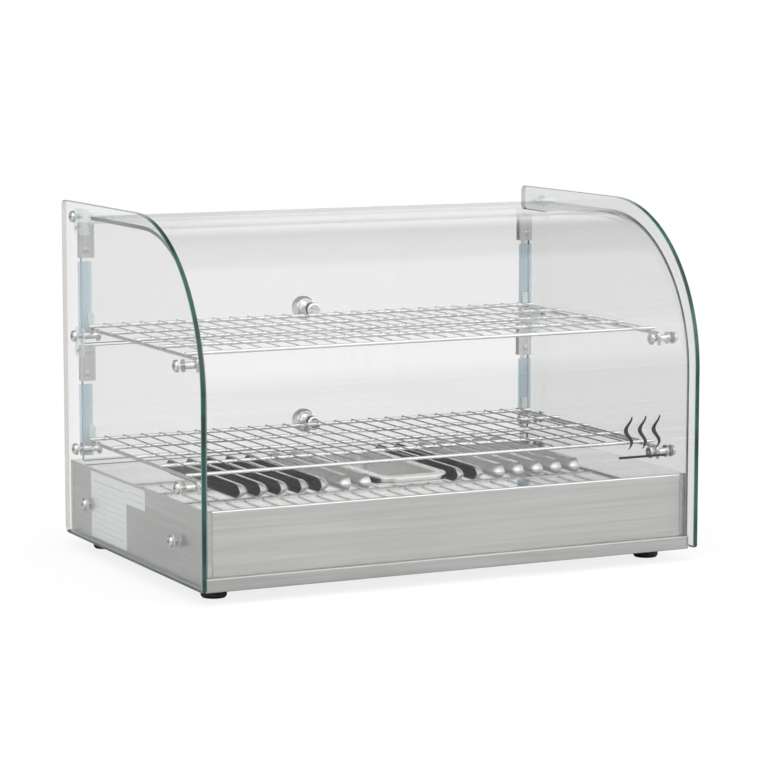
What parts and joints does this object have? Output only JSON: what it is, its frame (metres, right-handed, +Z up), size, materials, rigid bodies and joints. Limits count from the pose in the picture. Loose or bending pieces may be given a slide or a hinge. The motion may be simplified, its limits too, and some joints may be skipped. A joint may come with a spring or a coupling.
{
  "type": "hot food display case",
  "caption": "Countertop heated display case with curved glass front, flat glass sides, wire shelves and top-hung glass doors at the rear, over a folded steel heater base.",
  "frame": {"origin": "middle of the footprint, on the surface that the feet stand on", "axes": "+X to the customer's right, +Y to the rear, where the doors are, +Z up; the curved glass faces -Y"},
  "size_m": [0.5488, 0.386, 0.358],
  "materials": {
    "brushed_steel": "brushed, horizontal grain",
    "tray_steel": "pressed satin steel",
    "black_rubber": "moulded, matt",
    "zinc_hardware": "bright zinc plate",
    "pane_glass": "clear float glass, polished green edges",
    "door_glass": "clear float glass",
    "screw_steel": "polished stainless",
    "clear_washer": "clear nylon",
    "chrome": "bright chrome plate",
    "shelf_chrome": "chromed wire",
    "clear_silicone": "translucent silicone",
    "clear_plastic": "clear polycarbonate",
    "clamp_steel": "satin stainless",
    "clamp_pad": "clear PVC",
    "clear_strip": "clear PVC, faintly blue",
    "inner_plastic": "phenolic",
    "element_sheath": "heat-darkened steel sheath",
    "reflector_aluminium": "mill finish",
    "black_plastic": "moulded",
    "rocker_plastic": "moulded, glossy",
    "amber_lens": "translucent amber",
    "label_film": "blank printed film"
  },
  "bodies": {
    "case": {"bottom_tray": "brushed_steel", "deck_cover": "brushed_steel", "left_side_panel": "brushed_steel", "right_side_panel": "brushed_steel", "rubber_feet": "black_rubber", "feet_screws": "zinc_hardware", "feet_nuts": "zinc_hardware", "base_nuts": "zinc_hardware", "left_side_glass": "pane_glass", "right_side_glass": "pane_glass", "front_curved_glass": "pane_glass", "base_screws": "screw_steel", "shelf_post_screws": "screw_steel", "shelf_post_end_screws": "screw_steel", "clip_screws": "screw_steel", "shelf_post_washers": "screw_steel", "base_spacers": "clear_washer", "shelf_post_seals": "clear_washer", "clip_seals": "clear_washer", "shelf_posts": "chrome", "glass_clips": "clear_plastic", "door_brackets": "clear_plastic", "thermostat_body": "inner_plastic", "terminal_block": "inner_plastic", "thermostat_bulb": "zinc_hardware", "element_brackets": "zinc_hardware", "heating_element": "element_sheath", "heat_reflector": "reflector_aluminium", "switch_housing": "black_plastic", "cable_gland": "black_plastic", "pilot_lamp_body": "black_plastic", "pilot_lamp_lens": "amber_lens", "rating_plate": "label_film", "small_label": "label_film"},
    "upper_door": {"upper_door_glass": "door_glass", "upper_hinge_clamps": "clamp_steel", "upper_clamp_screws": "screw_steel", "upper_clamp_pads": "clamp_pad", "upper_edge_strips": "clear_strip", "upper_door_knob": "chrome", "upper_knob_screw": "chrome"},
    "lower_door": {"lower_door_glass": "door_glass", "lower_hinge_clamps": "clamp_steel", "lower_clamp_screws": "screw_steel", "lower_clamp_pads": "clamp_pad", "lower_edge_strips": "clear_strip", "lower_door_knob": "chrome", "lower_knob_screw": "chrome"},
    "upper_wire_shelf": {"upper_shelf": "shelf_chrome", "upper_shelf_end_rods": "shelf_chrome", "upper_shelf_bumpers": "clear_silicone"},
    "lower_wire_shelf": {"lower_shelf": "shelf_chrome", "lower_shelf_end_rods": "shelf_chrome", "lower_shelf_bumpers": "clear_silicone"},
    "humidity_tray": {"water_tray": "tray_steel"},
    "thermostat_dial": {"thermostat_knob": "black_plastic", "thermostat_shaft": "zinc_hardware"},
    "power_rocker": {"switch_rocker": "rocker_plastic"}
  },
  "joints": [
    {"name": "upper_door_hinge", "type": "hinge", "parent": "case", "child": "upper_door", "pos_m": [0, 0.1445, 0.331], "axis": [1, 0, 0], "range_deg": [0, 90]},
    {"name": "lower_door_hinge", "type": "hinge", "parent": "case", "child": "lower_door", "pos_m": [0, 0.1445, 0.205], "axis": [1, 0, 0], "range_deg": [0, 90]},
    {"name": "upper_shelf_lift", "type": "slide", "parent": "case", "child": "upper_wire_shelf", "axis": [0, 0, 1], "range_m": [0, 0.02]},
    {"name": "lower_shelf_lift", "type": "slide", "parent": "case", "child": "lower_wire_shelf", "axis": [0, 0, 1], "range_m": [0, 0.02]},
    {"name": "water_tray_lift", "type": "slide", "parent": "case", "child": "humidity_tray", "axis": [0, 0, 1], "range_m": [0, 0.01]},
    {"name": "thermostat_turn", "type": "hinge", "parent": "case", "child": "thermostat_dial", "pos_m": [0.12, 0.18, 0.052], "axis": [0, -1, 0], "range_deg": [0, 280]},
    {"name": "rocker_tip", "type": "hinge", "parent": "case", "child": "power_rocker", "pos_m": [0.04, 0.169, 0.052], "axis": [-1, 0, 0], "range_deg": [0, 16]}
  ]
}
